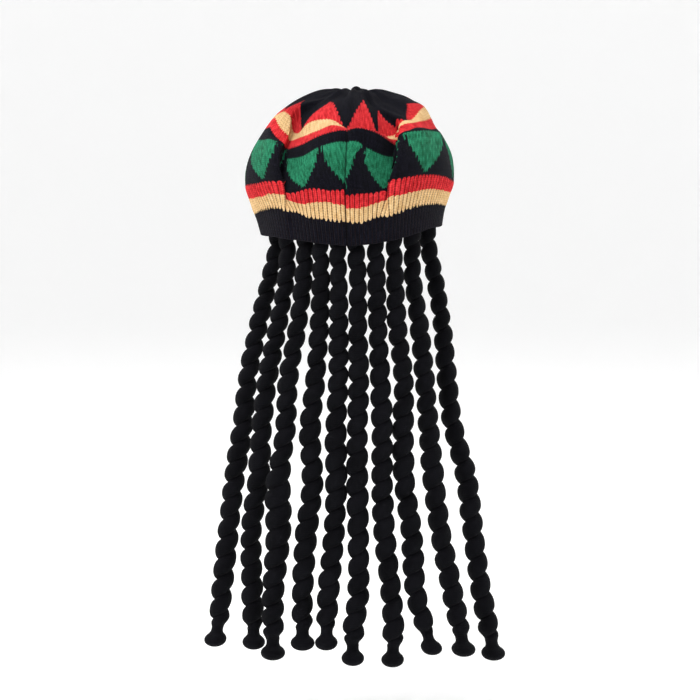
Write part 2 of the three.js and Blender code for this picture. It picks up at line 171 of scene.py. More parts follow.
# angle, sideways turn, lap of the creases' edges, push of the band, of the body, of the ridge
# and of the shelf behind it, and how far the inner face bridges a crease
foldTable = [
    (-180, 0, 0, 0, 0, 0, 0, 0),
    (-135, 0, 0, 0, 1.5, 0, -1, 0),
    (-90, 0, 0, 0, 0, 0, 0, 0),
    (-68, -3, 0, 0.5, 1.5, 1, 0, 0),
    (-52, -7, 0, 1, 3.5, 2.5, 1, 0),
    (-47, -8.5, 0.4, 1, 3.5, 2.5, 0.8, -6),
    (-44, -9.3, 1.6, 1, 3, 2, 0, -12),
    (-42, -9.6, 2.4, 0.3, 1, 0.5, -1.5, -11.5),
    (-40.6, -9.6, 2.2, -0.8, -1.8, -1.8, -3.5, -8.5),
    (-39.4, -9.6, -1.2, -2.5, -6.5, -6, -6, -3.5),
    (-38.2, -9.6, -4.2, -3.2, -9.3, -8.8, -8, -0.5),
    (-36.8, -9.5, -4.2, -3.2, -9.5, -9, -8.2, 0),
    (-34, -9, -1.8, -2.8, -8, -7.5, -7.5, 0),
    (-29, -7.5, -0.3, -1.8, -6, -4.8, -5.5, 0),
    (-20, -4, 0, -0.5, -3, -0.5, -2.5, 0),
    (-4, 0, 0, 0, 0, 3, -3, 0),
    (4, 2, 0, 0, -1.5, 5.5, -7, 0),
    (9, 4.5, 0, -0.3, -5, 5.5, -8, 0),
    (13, 7.2, 0.2, -0.8, -8, 2, -8, 0),
    (16, 9.5, 1.2, -1.8, -9.5, -3, -7.5, 0),
    (18.5, 11, 3.6, -2.4, -8.5, -7, -7, 0),
    (20, 11.5, 4.2, -2.6, -9, -8, -7, -0.5),
    (21.2, 11.5, 1.4, -2, -6, -6, -5.5, -3.5),
    (22.4, 11.5, -1.6, -0.6, -1.5, -1.5, -3, -8),
    (23.8, 11.3, -1.8, 0.4, 1.2, 0.8, -1, -11.5),
    (26, 10.8, -1, 1, 3.2, 2, 0.3, -12),
    (29, 10, -0.3, 1, 3.5, 2, 0.8, -5),
    (34, 8.5, 0, 1, 3.5, 2, 1, 0),
    (48, 4, 0, 1, 2.5, 1.5, 0.5, 0),
    (70, 1, 0, 0.5, 1, 0.5, 0, 0),
    (90, 0, 0, 0, 0, 0, 0, 0),
    (135, 0, 0, 0, 1.5, 0.5, -1, 0),
    (180, 0, 0, 0, 0, 0, 0, 0),
]

# along, then how much of the turn, the lap, each of the pushes and the puckers holds there
foldLevels = [
    (0, 0, 0, 0.3, 0, 0, 0, 0),
    (25, 0, 0, 0.7, 0, 0, 0, 0),
    (34, 0, 0.5, 0.9, 0.1, 0, 0, 0),
    (44, 0, 0.9, 1, 0.2, 0, 0, 0),
    (57, 0.05, 1, 0.6, 0.5, 0, 0, 0),
    (80, 0.5, 1, 0, 1, 0, 0, 0),
    (101, 0.85, 1, 0, 0.6, 0.4, 0, 0),
    (111, 1.15, 1, 0, 0, 1, 0, 0),
    (118, 1.3, 1, 0, 0, 0.4, 0.6, 0),
    (125, 1.45, 0.9, 0, 0, 0, 1, 0),
    (132, 1.7, 0.7, 0, 0, 0, 0.9, 0.05),
    (145, 1.4, 0.3, 0, 0, 0, 0.4, 0.3),
    (164, 0.6, 0, 0, 0, 0, 0.1, 0.8),
    (190, 0, 0, 0, 0, 0, 0, 1),
    (212, 0, 0, 0, 0, 0, 0, 0),
    (219, 0, 0, 0, 0, 0, 0, 0),
]

# angle, then how far the folds lift the cloth (+) or let it drop (-) at each of the levels
liftLevels = (0, 25, 40, 57, 101, 111, 121, 132, 175, 200)
liftTable = [
    (-180, 0, 0, 0, 0, 0, 0, 0, 0, 0, 0),
    (-90, 0, -3, -2, -4, 0, 0, 0, 0, 0, 0),
    (-60, 0.4, 4, 2, -0.6, 0, 4.5, 5.5, 2, 0, 0),
    (-50, -0.8, 5.8, 5.5, 1.7, 0, -3, -1, 3, -1, 0),
    (-44, -1.8, 5, 5.2, 2, -2, -8.5, -6.5, 2.5, -2, 0),
    (-40.6, -2.3, 3, 4, 1.5, -3, -12, -9.5, 0.5, -3, 0),
    (-38.2, -2.7, 1.5, -0.5, -7, -11, -13, -11, -8, -4.5, 0),
    (-36, -3, 1, -2.5, -10, -13.5, -12, -12, -12, -5, 0),
    (-32, -3.6, 0, -5, -10.5, -14, -11, -11, -13, -5, 0),
    (-26, -5, -3.8, -5.6, -7.4, -12.8, -9, -9, -6, -5, 0),
    (-18, -7, -5.8, -3.7, -5.8, -6.5, -4, -5, -3, -4, 0),
    (-11, -8.2, -7.3, -4.4, -8, -3, -1, -1, -4, -4, 0),
    (-3, -10, -9.5, -7.7, -7.6, -1, 1, -4, -13, -4, 0),
    (3, -10, -11, -9, -7.6, -2.4, 1, -7, -15, -5, 0),
    (7, -10, -11, -9.4, -9.5, -8, -1, -9, -17, -6, 0),
    (12, -9.7, -8.4, -8.6, -12, -12, -5, -11, -18, -6, 0),
    (18, -9, -6.8, -6, -11, -14, -11, -14, -17, -8, 0),
    (20, -8.6, -6.6, -4.5, -9, -13, -10, -13, -15, -9, 0),
    (22.4, -8.1, -6.3, -1.8, -2, 1, -4, -5, -9, -11, 0),
    (25, -7.6, -5, 0, 1, 4, -2.5, -2.5, -7.5, -11.5, 0),
    (28, -7, -3.4, 0.8, 1.8, 5, -2, -2, -7, -12, 0),
    (37, -4.8, 1, 3, 3.7, 6, 1, -1.5, -7, -12, 0),
    (48, -1.8, 3, 4.7, 3.5, 6.5, 1.5, 0, -5, -9, 0),
    (62, 1, 2, 2, 0.4, 6, 0, 1.5, 3, -4, 0),
    (77, 0.3, -0.8, -1.5, -5.7, 3, 0, 3.5, 7, -1, 0),
    (90, 0, -2, -3, -6, 1.5, 0, 2, 4, 0, 0),
    (180, 0, 0, 0, 0, 0, 0, 0, 0, 0, 0),
]

# along, and where the middles of the seven triangles at the back stand there, in degrees
triangleRows = [
    (59, (-84, -52, -26, -0.5, 20, 43.5, 77)),
    (101, (-100, -65, -33, -6, 21.5, 44, 92)),
    (132, (-94, -64, -43, -5, 18, 47, 82)),
    (175, (-97, -72, -50, -7.5, 24, 45, 74)),
]
# on the side lobes the second row's middles stand further out: three of them on each
lobeMiddles = {"left": (-103, -69, -14), "right": (-6, 54, 94)}
creases = {"left": -38.2, "right": 20, "reach": 1.1}
# where the top folds over the red above the cream: the slide up the cloth in mm, the ways up
# between which it grows, and how much of it there is at an angle
foldedRed = {
    "slide": 19,
    "grows": (134, 152),
    "shares": [
        (-110, 0), (-95, 0.3), (-75, 0.9), (-60, 1), (-32, 1), (-25, 0.4), (-18, 0), (13, 0),
        (17, 0.5), (22, 0.8), (30, 0.7), (40, 0.6), (47, 0.8), (56, 1.4), (80, 1.4), (115, 0),
    ],
}


def puckerShape(angle):
    # eleven soft folds of uneven size drawn into the gather: a cosine with its phase bent
    bent = np.radians(angle * 11 + 26 * np.sin(np.radians(angle * 3 + 40)))
    return 1.5 * np.cos(bent) + 0.5 * np.cos(np.radians(angle * 23 + 70))


def smallWrinkles(angle, along):
    # three crossing sine waves, strongest at the shoulder and none at the rim
    a = np.radians(angle)
    wave = (np.sin(a * 9 + along * 0.07 + 1.1) + 0.7 * np.sin(a * 17 - along * 0.09 + 2.3)
            + 0.5 * np.sin(a * 5 + along * 0.16))
    return 0.35 * wave * smoothBetween(50, 90, along) * (1 - smoothBetween(190, 212, along))


def capSurface(angles, alongs, inset, drop):
    # a ring of radius r(along) at height h(along), pushed along the outline's normal by the
    # sum of the folds, lifted and turned by them, and tilted: rows x columns x 3. The outer
    # face laps over itself in the creases, and the inner one bridges them
    angle, along = np.meshgrid(angles, alongs)
    inset = np.broadcast_to(inset, angle.shape)
    inner = inset > cap["crownWall"] / 2
    wrapped = (angle + 180) % 360 - 180
    probe = 0.5
    out = tableCurve(capOutline, 1, along + probe) - tableCurve(capOutline, 1, along - probe)
    rise = tableCurve(capOutline, 2, along + probe) - tableCurve(capOutline, 2, along - probe)
    run = np.hypot(out, rise) + 1e-9
    level = [tableCurve(foldLevels, n, along) for n in range(1, 8)]
    fold = [tableCurve(foldTable, n, wrapped) * level[n - 1] for n in range(1, 7)]
    bridge = tableCurve(foldTable, 7, wrapped) * level[1]
    push = sum(fold[2:]) + puckerShape(wrapped) * level[6] + smallWrinkles(wrapped, along)
    push = push + np.where(inner, bridge, 0) - inset
    share = np.column_stack([liftLevels, np.eye(len(liftLevels))])
    lift = sum(tableCurve(liftTable, n, wrapped) * tableCurve(share, n, along)
               for n in range(1, len(liftLevels) + 1))
    radius = np.maximum(tableCurve(capOutline, 1, along) + push * rise / run, 0.3)
    height = tableCurve(capOutline, 2, along) - push * out / run + lift - drop
    turned = angle + fold[0] + np.where(inner, 0, fold[1])
    side = radius * np.sin(np.radians(turned))
    back = -radius * np.cos(np.radians(turned)) * cap["depthRatio"]
    tilt = cap["tilt"] * side * np.maximum(1 - height / cap["tiltFade"], 0)
    place = np.stack([side + tableCurve(capOutline, 3, along), back, height + tilt], axis=-1)
    return place, turned


def fromSeam(angle):
    # mm sideways from the seam, on a ring of the seam's ringRadius
    return np.radians((angle + 180 - seam["angle"]) % 360 - 180) * seam["ringRadius"]


def seamShadeLine(angle, along):
    # how much painted shade lies on the cloth along the seam's valley: a bell curve across the seam
    return np.exp(-(fromSeam(angle) / seam["line"]) ** 2) * (1 - smoothBetween(*seam["fade"], along))


def seamCut(angle, along):
    # a rounded valley up the middle of the back: a narrow and a wide bell curve across the seam
    away = fromSeam(angle) / seam["width"]
    deeper = 1 + (seam["crownDepth"] - 1) * smoothBetween(*seam["crownFrom"], along)
    bell = 0.5 * np.exp(-away ** 2) + 0.5 * np.exp(-(away / 4) ** 2)
    return seam["depth"] * deeper * bell * (1 - smoothBetween(*seam["fade"], along))


def ribShape(angle, along):
    # round ribs with sharp gaps: the root of half a sine wave to each rib, lower in the rim's
    # part and ended roundly under the crown
    phase = (angle - seam["angle"]) / 360 * cap["ribs"]
    rounded = np.sqrt(np.abs(np.sin(np.pi * phase)) + 0.02) - 0.75
    strength = 0.3 + 0.7 * smoothBetween(19, 28, along)
    return cap["ribDepth"] * rounded * strength * (1 - smoothBetween(53, cap["bandTop"], along))


def aroundCurve(middles, firstNumber, turned):
    # the triangles' numbers against the angle: the middles given, evenly spaced ones for the
    # rest of the way round, and the same again one lap before and after
    count = cap["triangles"]
    step = (360 + middles[0] - middles[-1]) / (count - len(middles) + 1)
    ring = list(middles) + [middles[-1] + step * n for n in range(1, count - len(middles) + 1)]
    laps = [(a + 360 * lap, n + firstNumber + count * lap)
            for lap in (-1, 0, 1, 2) for n, a in enumerate(ring)]
    return tableCurve(laps, 1, turned)


def lobeCurve(side, turned):
    # the same for a lobe, whose triangle is wider: its own middles, then even steps to the other's
    left, right = lobeMiddles["left"], lobeMiddles["right"]
    rest = cap["triangles"] - 5
    even = [(right[2] + (left[0] + 360 - right[2]) * n / (rest - 1), 5 + n) for n in range(rest)]
    if side == "right":
        return tableCurve([(right[0], 3), (right[1], 4)] + even, 1, turned)
    before = [(a - 360, n - cap["triangles"]) for a, n in even]
    return tableCurve(before + [(left[1], 0), (left[2], 1)], 1, turned)


def trianglePlace(angle, turned, along):
    # which triangle a point is on, whole numbers at their middles: read from the turned angle
    # at each row of the table, then mixed between the rows by the way up the cloth. The rest
    # of a triangle that meets a crease is swallowed in it
    marks = [aroundCurve(middles, -1, turned) for _, middles in triangleRows]
    onRight = smoothBetween(creases["right"] - creases["reach"], creases["right"] + creases["reach"], angle)
    onMiddle = smoothBetween(creases["left"] - creases["reach"], creases["left"] + creases["reach"], angle)
    left, right = lobeCurve("left", turned), lobeCurve("right", turned)
    marks[1] = left + (marks[1] - left) * onMiddle
    marks[1] = marks[1] + (right - marks[1]) * onRight
    marks[2] = marks[2] + wedgeTuck(turned)
    marks[3] = marks[3] + wedgeTuck(turned)
    marks = np.array(marks)
    level = np.array([row[0] for row in triangleRows], float)
    held = np.clip(along, level[0], level[-1])
    n = np.clip(np.searchsorted(level, held) - 1, 0, len(level) - 2)
    t = (held - level[n]) / (level[n + 1] - level[n])
    low = np.take_along_axis(marks, n[None], axis=0)[0]
    high = np.take_along_axis(marks, n[None] + 1, axis=0)[0]
    return low + (high - low) * t


tuckedWedge = {"middle": 24, "reach": 2.5, "spread": 15, "size": 0.24}


def wedgeTuck(turned):
    # half of the black wedge over the right crease is tucked under: the pattern runs on quickly
    # across it and slowly beside it, a steep s-curve that fades sideways as a bell
    away = turned - tuckedWedge["middle"]
    steep = np.tanh(away / tuckedWedge["reach"])
    return tuckedWedge["size"] * steep * np.exp(-(away / tuckedWedge["spread"]) ** 2)


def seamJog(angle, along):
    # the stripes don't meet at the seam: on its +X side they sit lower, dying away sideways
    level = tableCurve(seam["jog"], 1, along)
    return level * (1 - smoothBetween(*seam["jogReach"], angle - seam["angle"]))


def seamLoss(angle, along):
    # part of a triangle's width is sewn into the seam, more of it lower down
    level = seam["loss"] * (1 - smoothBetween(*seam["lossFade"], along))
    return level * (1 - smoothBetween(*seam["lossReach"], angle - seam["angle"]))


def drawnUnder(wrapped, along):
    # how far the pattern has slid up the cloth where the top folds over the red
    share = tableCurve(foldedRed["shares"], 1, wrapped)
    return foldedRed["slide"] * share * smoothBetween(*foldedRed["grows"], along)


def withoutTurns(angle):
    # an angle brought between -180 and 180, and the whole turns that were taken off it
    turns = np.floor((angle + 180) / 360)
    return angle - turns * 360, turns


def evenAngles(columns):
    return seam["angle"] + np.arange(columns + 1) * 360 / columns


def crowdedAngles(columns):
    # column angles once round from the seam, four times as close at it and in the two creases
    crowds = ((creases["left"], 5), (creases["right"], 5), (seam["angle"], 2))
    probe = np.linspace(seam["angle"], seam["angle"] + 360, 3601)
    wrapped = withoutTurns(probe)[0]
    crowd = 1 + sum(3 * np.exp(-((wrapped - middle) / reach) ** 4) for middle, reach in crowds)
    run = np.concatenate([[0], np.cumsum(crowd[1:])])
    return np.interp(np.linspace(0, run[-1], columns + 1), run, probe)


def clothRows(columns, profile, ribbed):
    # profile: rows of along, inset and drop, from the first ring to the last
    profile = np.array(profile, float)
    angles = evenAngles(columns) if ribbed else crowdedAngles(columns)
    angle, along = np.meshgrid(angles, profile[:, 0])
    outer = (profile[:, 1] == 0)[:, None]
    shape = -seamCut(angle, along) + (ribShape(angle, along) if ribbed else 0)
    inset = profile[:, 1][:, None] - np.where(outer, shape, 0)
    points, turned = capSurface(angles, profile[:, 0], inset, profile[:, 2][:, None])
    pattern = along + seamJog(angle, along)
    if ribbed:
        across = (angle - seam["angle"]) / 360 * cap["ribs"]
    else:
        wrapped, turns = withoutTurns(angle)
        across = trianglePlace(wrapped, turned - turns * 360, along) + turns * cap["triangles"]
        across = across + seamLoss(angle, along)
        pattern = pattern + drawnUnder(wrapped, along)
    uv = np.stack([across, pattern], axis=-1)
    return points[:, :-1], uv, seamShadeLine(angle, along)[:, :-1]


def markSeamShade(piece, line):
    # the painted seam shade as a point attribute that the knit materials read
    values = np.zeros(len(piece.data.vertices))
    values[:line.size] = line.ravel()
    piece.data.attributes.new("seam", "FLOAT", "POINT").data.foreach_set("value", values)


def makeBand():
    wall = cap["bandWall"]
    outside = [(a, 0, 0) for a in np.linspace(0, cap["bandTop"], int(cap["bandTop"] / cap["bandStep"]) + 1)]
    inside = [(a, wall, 0) for a in np.linspace(cap["bandTop"], 0, 14)]
    hem = [(0, wall * share, drop) for share, drop in ((0.85, 0.9), (0.5, 1.5), (0.15, 0.9))]
    points, uv, line = clothRows(cap["ribs"] * cap["ribColumns"], outside + inside + hem, True)
    band = gridPiece("ribbedBand", points, uv, closedRows=True)
    markSeamShade(band, line)
    return band


def makeCrown():
    foot = cap["bandTop"]
    innerRows = np.linspace(cap["innerTop"], foot, int((cap["innerTop"] - foot) / cap["innerStep"]))
    outerRows = np.linspace(foot, cap["tip"], int((cap["tip"] - foot) / cap["crownStep"]))
    profile = [(a, cap["crownWall"], 0) for a in innerRows] + [(a, 0, 0) for a in outerRows]
    points, uv, line = clothRows(cap["crownColumns"], profile, False)
    crown = gridPiece("knitCrown", points, uv)
    markSeamShade(crown, line)
    return crown


ribbedBand = makeBand()
knitCrown = makeCrown()
print("cap made:", len(ribbedBand.data.polygons), len(knitCrown.data.polygons), "faces")

# the locks
lockShape = {
    "rim": -12,
    "top": 16,
    "seatGap": 0.45,
    "rootRadius": 9.0,
    "upperRadius": 10.1,
    "lowerRadius": 11.5,
    "upperHeight": -90,
    "fullHeight": -230,
    "swellHeight": -275,
    "grooveDepth": 4.2,
    "grooveLine": 0.8,
    "pitchTop": 18.4,
    "pitchLow": 20.5,
    "knobHeight": 20,
    "neckBlend": 13,
    "shallowGroove": 0.25,  # share of the groove's depth that is missing near the rim
    "shallowBetween": (-110, -50),
    "pitchBetween": (-250, -60),
    "roundTop": 6,
    "columns": 48,
    "rowStep": 0.95,
    "courseWidth": 2.2,
}

lockDrops = (-45, -97, -150, -203, -256, -309, -372, -409)  # heights of the eight drops
# angle of its seat, sideways places at the drops and at its end, height of its end, how much it
# is swollen, and the radius of its knob
lockTable = [
    (-71, (-85.5, -98, -109, -115, -123.5, -130, -137, -141), -145.5, -438.5, 0, 11.7),
    (-53.5, (-68.5, -77.5, -88, -94.5, -98, -105.5, -105, -104), -103.5, -436.5, 0, 11.8),
    (-36, (-50.5, -57, -66.5, -69.5, -77, -77, -82.5, -83), -83, -444, 2.4, 12.7),
    (-23, (-32.5, -34.5, -38.5, -44, -41.5, -48, -52, -52), -52, -431.5, 0.3, 12.4),
    (-10, (-14.5, -14.5, -15, -17.5, -17, -19.5, -25.5, -27), -27.5, -430, 0, 11.7),
    (3, (5, 5, 6, 4.5, 4.5, 5.5, 5.5, 0.5), 0, -446, 0, 11.7),
    (17.5, (24, 25.5, 28, 30, 30, 32.5, 39.5, 42), 41, -448.5, 0, 11.7),
    (32, (43, 45.5, 52, 51.5, 53, 60.5, 65, 75), 82.5, -437.5, 0, 11),
    (49.5, (61.5, 68.5, 74, 78.5, 83.5, 90.5, 103, 110.5), 116, -443, 0.2, 12.5),
    (76, (84.5, 93, 98, 104.5, 118.5, 125.5, 134, 141), 149, -455, 0.2, 12.6),
]

# height above the lowest point, share of the knob's radius
knobTable = [(0, 0.05), (0.4, 0.32), (1.6, 0.62), (3.8, 0.87), (7, 1), (10, 0.98), (12.5, 0.85),
             (14.5, 0.67), (16.5, 0.56), (20, 0.53)]


def lockSurface(number):
    # a rope round the route x(z), y: its radius is the table's, less a groove that climbs
    # counter-clockwise, whose lumps are round bows between sharp notches
    s = lockShape
    seatAngle, places, end, foot, swell, knob = lockTable[number]
    reach = s["rootRadius"] + cap["bandWall"] + s["seatGap"]
    seat = capSurface(np.array([seatAngle]), np.array([0.0]), reach, 0)[0][0, 0]
    top = s["top"] + seat[2]
    route = sorted([(foot, end), (s["rim"], seat[0]), (top, seat[0])] + list(zip(lockDrops, places)))
    heights = np.linspace(foot, top, int((top - foot) / s["rowStep"]))
    footRings = foot + (heights[1] - foot) * np.array([0.02, 0.12, 0.35, 0.65])
    heights = np.concatenate([footRings, heights[1:-1], top - np.array([0.7, 0.3, 0.08])])
    theta = np.arange(s["columns"] + 1) / s["columns"] * 2 * np.pi
    angle, height = np.meshgrid(theta, heights)
    widths = [
        (foot + s["knobHeight"] + s["neckBlend"], s["lowerRadius"]),
        (s["swellHeight"], s["lowerRadius"] + swell),
        (s["fullHeight"], s["lowerRadius"]),
        (s["upperHeight"], s["upperRadius"]),
        (s["rim"], s["rootRadius"]),
        (top, s["rootRadius"]),
    ]
    body = tableCurve(widths, 1, height)
    above = height - foot
    blend = smoothBetween(s["knobHeight"], s["knobHeight"] + s["neckBlend"], above)
    wander = 0.25 * np.sin(height * 0.05 + number * 1.7) + 0.15 * np.sin(height * 0.13 + number)
    radius = tableCurve(knobTable, 1, above) * knob * (1 - blend) + (body + wander) * blend
    past = np.clip(height - top + s["roundTop"], 0, s["roundTop"]) / s["roundTop"]
    radius = radius * np.sqrt(1 - 0.97 * past ** 2)
    pitch = s["pitchLow"] + (s["pitchTop"] - s["pitchLow"]) * smoothBetween(*s["pitchBetween"], heights)
    pitch = pitch * (1 + 0.05 * np.sin(heights * 0.031 + number * 2.1))
    turns = np.concatenate([[0], np.cumsum(np.diff(heights) / pitch[1:])])
    phase = (turns[:, None] - angle / (2 * np.pi) + number * 0.37) % 1
    lump = 1 - np.abs(2 * phase - 1) ** 2.3
    line = np.exp(-(np.minimum(phase, 1 - phase) / 0.06) ** 2)
    fade = smoothBetween(s["knobHeight"] + 1, s["knobHeight"] + 9, above)
    fade = fade * (1 - smoothBetween(s["rim"] + 2, s["rim"] + 10, height))
    depth = s["grooveDepth"] * (1 + 0.15 * np.sin(turns[:, None] * 2.4 + number))
    depth = depth * (1 - s["shallowGroove"] * smoothBetween(*s["shallowBetween"], height))
    radius = radius - fade * (depth * (1 - lump) + s["grooveLine"] * line)
    x = tableCurve(route, 1, height) + radius * np.cos(angle)
    y = seat[1] + radius * np.sin(angle)
    points = np.stack([x, y, height], axis=-1)
    around = 2 * np.pi * s["lowerRadius"] / s["courseWidth"]
    uv = np.stack([angle / (2 * np.pi) * round(around), height / s["courseWidth"]], axis=-1)
    return points[:, :-1], uv


locks = []
for number in range(len(lockTable)):
    points, uv = lockSurface(number)
    locks.append(gridPiece(f"dreadlockRope{number + 1:02d}", points, uv))
print("locks made:", sum(len(lock.data.polygons) for lock in locks), "faces")


# materials
class NodeBoard:
    # short ways to place and join nodes in a material or a node group
    def __init__(self, tree):
        self.tree = tree

    def node(self, kind, inputs=(), **settings):
        made = self.tree.nodes.new(kind)
        for name, value in settings.items():
            setattr(made, name, value)
        for name, value in dict(inputs).items():
            self.join(value, made.inputs[name])
        return made

    def join(self, value, socket):
        if isinstance(value, bpy.types.NodeSocket):
            self.tree.links.new(value, socket)
        else:
            socket.default_value = value

    def math(self, operation, first, second=0.0, third=0.0):
        made = self.node("ShaderNodeMath", operation=operation)
        for n, value in enumerate((first, second, third)):
            self.join(value, made.inputs[n])
        return made.outputs[0]

    def mix(self, share, first, second):
        made = self.node("ShaderNodeMix", data_type="RGBA")
        self.join(share, made.inputs[0])
        self.join(first, made.inputs[6])
        self.join(second, made.inputs[7])
        return made.outputs[2]

    def ramp(self, value, low, high):
        inputs = {"Value": value, "From Min": low, "From Max": high}
        return self.node("ShaderNodeMapRange", inputs, clamp=True).outputs[0]

    def group(self, tree, **inputs):
        made = self.node("ShaderNodeGroup")
        made.node_tree = tree
        for name, value in inputs.items():
            self.join(value, made.inputs[name])
        return made.outputs


def newGroup(name, inputs, outputs):
    tree = bpy.data.node_groups.new(name, "ShaderNodeTree")
    for kind, sockets in (("INPUT", inputs), ("OUTPUT", outputs)):
        for label, socketType in sockets:
            tree.interface.new_socket(label, in_out=kind, socket_type="NodeSocket" + socketType)
    board = NodeBoard(tree)
    entry = board.node("NodeGroupInput")
    leave = board.node("NodeGroupOutput")
    return tree, board, entry.outputs, leave.inputs


def stitchGroup():
    # knit stitches: each cell of the uv holds a V of two rounded strands. The strand's height
    # is the root of a sine up the slanted cell, times a sine across each half
    tree, board, given, put = newGroup(
        "knitStitch", [("Across", "Float"), ("Along", "Float"), ("Slant", "Float")],
        [("Height", "Float"), ("Gap", "Float")])
    half = board.math("ABSOLUTE", board.math("SUBTRACT", board.math("FRACT", given["Across"]), 0.5))
    slanted = board.math("SUBTRACT", given["Along"], board.math("MULTIPLY", half, given["Slant"]))
    course = board.math("SINE", board.math("MULTIPLY", board.math("FRACT", slanted), math.pi))
    wale = board.math("SINE", board.math("MULTIPLY", half, 2 * math.pi))
    height = board.math("MULTIPLY", board.math("POWER", course, 0.5), board.math("POWER", wale, 0.6))
    board.join(height, put["Height"])
    # Gap marks the low places between strands, where the materials paint shade
    board.join(board.math("SUBTRACT", 1.0, board.ramp(height, 0.05, 0.5)), put["Gap"])
    return tree


def yarnGroup():
    # fuzz and uneven dye of yarn: a fine noise in object space for height, a slow one for tone,
    # and a noise stretched along single strands, counted by Strand, for their light and dark
    tree, board, given, put = newGroup(
        "yarnFuzz", [("Scale", "Float"), ("Strand", "Float"), ("Along", "Float")],
        [("Height", "Float"), ("Tone", "Float"), ("Streak", "Float")])
    place = board.node("ShaderNodeTexCoord").outputs["Object"]
    strand = board.math("MULTIPLY", board.math("FLOOR", given["Strand"]), 7.31)
    strandPlace = board.node("ShaderNodeCombineXYZ", {"X": strand, "Y": given["Along"]}).outputs[0]
    streak = board.node("ShaderNodeTexNoise", {"Vector": strandPlace, "Scale": 1.0, "Detail": 2.0})
    board.join(board.ramp(streak.outputs["Fac"], 0.36, 0.64), put["Streak"])
    fine = board.node("ShaderNodeTexNoise", {"Vector": place, "Scale": given["Scale"], "Detail": 4.0})
    slow = board.node("ShaderNodeTexNoise", {"Vector": place, "Scale": 38.0, "Detail": 3.0})
    board.join(fine.outputs["Fac"], put["Height"])
    board.join(board.ramp(slow.outputs["Fac"], 0.3, 0.7), put["Tone"])
    return tree


stitch = stitchGroup()
yarn = yarnGroup()

yarnColours = {
    "black": ((0.001, 0.001, 0.0025, 1), (0.007, 0.007, 0.013, 1)),
    "green": ((0.001, 0.04, 0.016, 1), (0.03, 0.31, 0.155, 1)),
    "red": ((0.38, 0.002, 0.004, 1), (0.9, 0.05, 0.06, 1)),
    "cream": ((0.62, 0.34, 0.12, 1), (0.95, 0.68, 0.36, 1)),
    "lock": ((0.0015, 0.0015, 0.0025, 1), (0.0055, 0.0055, 0.0075, 1)),
}


def newMaterial(name, roughness, sheen):
    material = bpy.data.materials.new(name)
    material.use_nodes = True
    board = NodeBoard(material.node_tree)
    shader = material.node_tree.nodes["Principled BSDF"]
    shader.inputs["Roughness"].default_value = roughness
    shader.inputs["Specular IOR Level"].default_value = 0.05
    shader.inputs["Sheen Weight"].default_value = sheen
    shader.inputs["Sheen Roughness"].default_value = 0.5
    return material, board, shader


def strandHighlightAndDye(board, fuzz, height):
    # painted highlight where a strand stands out, with random streaks from strand to strand and uneven dye
    streaked = board.math("MULTIPLY_ADD", fuzz["Streak"], 0.6, board.math("MULTIPLY", height, 0.3))
    return board.math("MULTIPLY_ADD", fuzz["Tone"], 0.15, streaked)


def paintedSeamShade(board, colour):
    # painted shade along the seam's valley, from the point attribute
    line = board.node("ShaderNodeAttribute", attribute_name="seam").outputs["Fac"]
    return board.mix(board.math("MULTIPLY", line, 0.8), colour, (0.002, 0.002, 0.003, 1))


def finishKnit(board, shader, colour, heights, tone, gap, shade):
    # painted shade in the gaps between strands, then two bumps: stitches and fuzz
    colour = board.mix(board.math("MULTIPLY", gap, shade), colour, (0, 0, 0, 1))
    board.join(colour, shader.inputs["Base Color"])
    normal = None
    for height, distance, strength in heights:
        inputs = {"Height": height, "Distance": distance, "Strength": strength}
        if normal is not None:
            inputs["Normal"] = normal
        normal = board.node("ShaderNodeBump", inputs).outputs["Normal"]
    board.join(normal, shader.inputs["Normal"])
    board.join(board.ramp(tone, -3.0, 1.6), shader.inputs["Roughness"])


crownFinish = {"wales": 17, "course": 2.0, "streak": 0.13, "teeth": 3.2, "roughness": 0.9, "sheen": 0.015}
# the tops of the stripes in mm up the cloth, from the tip of the green triangles up
crownStripes = {"tip": 59.0, "green": 101.0, "black": 111.0, "red": 121.0, "cream": 132.0, "wedges": 176.0}


